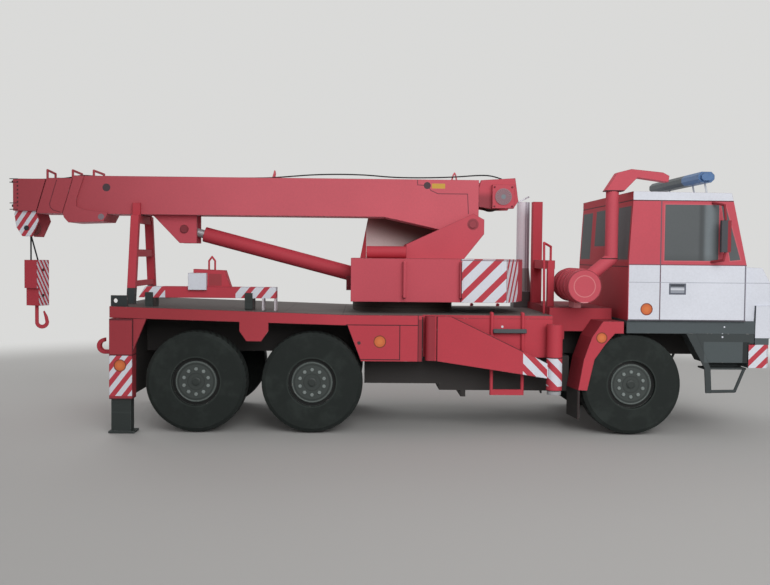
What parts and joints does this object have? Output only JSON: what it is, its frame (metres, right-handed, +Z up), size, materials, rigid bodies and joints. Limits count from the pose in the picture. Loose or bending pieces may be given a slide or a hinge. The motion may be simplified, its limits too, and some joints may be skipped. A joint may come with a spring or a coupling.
{
  "type": "scale model mobile crane",
  "caption": "Card scale model of a fire-brigade truck crane: cab, deck, slewing turret, telescopic boom on a lift cylinder, hook, swing-out outriggers and rolling wheels.",
  "frame": {"origin": "middle of the bounding box at floor level", "axes": "+X towards the cab's front, +Y to the machine's left, +Z up"},
  "size_m": [0.283, 0.0878, 0.0966],
  "materials": {
    "red_card": "matte printed card",
    "white_card": "matte printed card",
    "dark_card": "matte printed card",
    "tyre_card": "matte printed card",
    "rim_card": "matte printed card",
    "deck_card": "matte printed card",
    "stack_card": "matte printed card",
    "rod_foil": "satin rod",
    "light_card": "matte printed card",
    "wire": "painted wire"
  },
  "bodies": {
    "chassis": {"axles": "dark_card", "chassis_frame": "dark_card", "deck": "deck_card", "body_sides": "red_card", "rear_leg_housings": "red_card", "rear_beam": "red_card", "boom_rest": "red_card", "lifting_beam": "red_card", "beam_housing": "red_card", "turntable": "dark_card", "platform": "red_card", "exhaust_stack": "stack_card", "equipment_frame": "red_card", "air_filter": "red_card", "intake_pipe": "red_card", "cab_shell": "red_card", "cab_nose": "white_card", "cab_base": "dark_card", "cab_steps": "dark_card", "bumper": "white_card", "mirrors": "dark_card", "light_bar": "light_card", "mudguards": "red_card", "ladders": "wire"},
    "turret": {"turret": "red_card", "turret_ears": "red_card", "operator_cabin": "red_card", "turret_tank": "red_card"},
    "boom": {"boom_base": "red_card", "boom_root": "red_card", "boom_collar": "red_card", "lift_bracket": "red_card", "winch_housing": "red_card"},
    "winch_drum": {"winch_drum": "dark_card"},
    "boom_middle": {"boom_middle": "red_card"},
    "boom_top": {"boom_top": "red_card", "head_plates": "red_card"},
    "rope_hang": {"head_sheave": "dark_card"},
    "hook": {"hook_block": "red_card", "hook": "red_card"},
    "lift_barrel": {"lift_barrel": "red_card"},
    "lift_rod": {"lift_rod": "rod_foil"},
    "outrigger_right": {"outrigger_right": "red_card"},
    "outrigger_jack_right": {"outrigger_jack_right": "stack_card"},
    "rear_jack_right": {"rear_jack_right": "dark_card"},
    "outrigger_left": {"outrigger_left": "red_card"},
    "outrigger_jack_left": {"outrigger_jack_left": "stack_card"},
    "rear_jack_left": {"rear_jack_left": "dark_card"},
    "wheel_rear_right": {"tyre_rear_right": "tyre_card", "rim_rear_right": "rim_card"},
    "wheel_rear_left": {"tyre_rear_left": "tyre_card", "rim_rear_left": "rim_card"},
    "wheel_middle_right": {"tyre_middle_right": "tyre_card", "rim_middle_right": "rim_card"},
    "wheel_middle_left": {"tyre_middle_left": "tyre_card", "rim_middle_left": "rim_card"},
    "wheel_front_right": {"tyre_front_right": "tyre_card", "rim_front_right": "rim_card"},
    "wheel_front_left": {"tyre_front_left": "tyre_card", "rim_front_left": "rim_card"}
  },
  "joints": [
    {"name": "spin_rear_right", "type": "hinge", "parent": "chassis", "child": "wheel_rear_right", "pos_m": [-0.06548, -0.0331, 0.0181], "axis": [0, 1, 0], "continuous": true},
    {"name": "spin_rear_left", "type": "hinge", "parent": "chassis", "child": "wheel_rear_left", "pos_m": [-0.06548, 0.0331, 0.0181], "axis": [0, 1, 0], "continuous": true},
    {"name": "spin_middle_right", "type": "hinge", "parent": "chassis", "child": "wheel_middle_right", "pos_m": [-0.02423, -0.0331, 0.0181], "axis": [0, 1, 0], "continuous": true},
    {"name": "spin_middle_left", "type": "hinge", "parent": "chassis", "child": "wheel_middle_left", "pos_m": [-0.02423, 0.0331, 0.0181], "axis": [0, 1, 0], "continuous": true},
    {"name": "spin_front_right", "type": "hinge", "parent": "chassis", "child": "wheel_front_right", "pos_m": [0.09037, -0.0331, 0.0181], "axis": [0, 1, 0], "continuous": true},
    {"name": "spin_front_left", "type": "hinge", "parent": "chassis", "child": "wheel_front_left", "pos_m": [0.09037, 0.0331, 0.0181], "axis": [0, 1, 0], "continuous": true},
    {"name": "slew", "type": "hinge", "parent": "chassis", "child": "turret", "pos_m": [0.00918, 0, 0.0467], "axis": [0, 0, 1], "range_deg": [-120, 120]},
    {"name": "boom_lift", "type": "hinge", "parent": "turret", "child": "boom", "pos_m": [0.03547, 0, 0.0759], "axis": [0, 1, 0], "range_deg": [0, 60]},
    {"name": "winch_turn", "type": "hinge", "parent": "boom", "child": "winch_drum", "pos_m": [0.04417, 0, 0.0868], "axis": [0, 1, 0], "range_deg": [0, 343.3]},
    {"name": "middle_slide", "type": "slide", "parent": "boom", "child": "boom_middle", "axis": [-1, 0, 0], "range_m": [0, 0.09]},
    {"name": "top_slide", "type": "slide", "parent": "boom_middle", "child": "boom_top", "axis": [-1, 0, 0], "range_m": [0, 0.09]},
    {"name": "rope_plumb", "type": "hinge", "parent": "boom_top", "child": "rope_hang", "pos_m": [-0.13548, 0, 0.0729], "axis": [0, 1, 0], "range_deg": [-60.5, 0.5]},
    {"name": "hoist", "type": "slide", "parent": "rope_hang", "child": "hook", "axis": [0, 0, -1], "range_m": [0, 0.014]},
    {"name": "lift_swing", "type": "hinge", "parent": "turret", "child": "lift_barrel", "pos_m": [-0.00743, 0, 0.0555], "axis": [0, 1, 0], "range_deg": [-0.5, 68.58]},
    {"name": "lift_stroke", "type": "slide", "parent": "lift_barrel", "child": "lift_rod", "axis": [-0.9684, 0, 0.2495], "range_m": [-0.0003, 0.04606]},
    {"name": "outrigger_swing_right", "type": "hinge", "parent": "chassis", "child": "outrigger_right", "pos_m": [0.01767, -0.0361, 0.0262], "axis": [0, 0, -1], "range_deg": [0, 90]},
    {"name": "outrigger_foot_right", "type": "slide", "parent": "outrigger_right", "child": "outrigger_jack_right", "axis": [0, 0, -1], "range_m": [0, 0.014]},
    {"name": "rear_foot_right", "type": "slide", "parent": "chassis", "child": "rear_jack_right", "axis": [0, 0, 1], "range_m": [0, 0.011]},
    {"name": "outrigger_swing_left", "type": "hinge", "parent": "chassis", "child": "outrigger_left", "pos_m": [0.01767, 0.0361, 0.0262], "axis": [0, 0, 1], "range_deg": [0, 90]},
    {"name": "outrigger_foot_left", "type": "slide", "parent": "outrigger_left", "child": "outrigger_jack_left", "axis": [0, 0, -1], "range_m": [0, 0.014]},
    {"name": "rear_foot_left", "type": "slide", "parent": "chassis", "child": "rear_jack_left", "axis": [0, 0, 1], "range_m": [0, 0.011]}
  ],
  "couplings": [
    {"joint": "lift_swing", "follows": "boom_lift", "ratio": 1.1346},
    {"joint": "lift_stroke", "follows": "boom_lift", "m_per_rad": 0.043696},
    {"joint": "rope_plumb", "follows": "boom_lift", "ratio": -1},
    {"joint": "winch_turn", "follows": "hoist", "rad_per_m": 425.53}
  ]
}
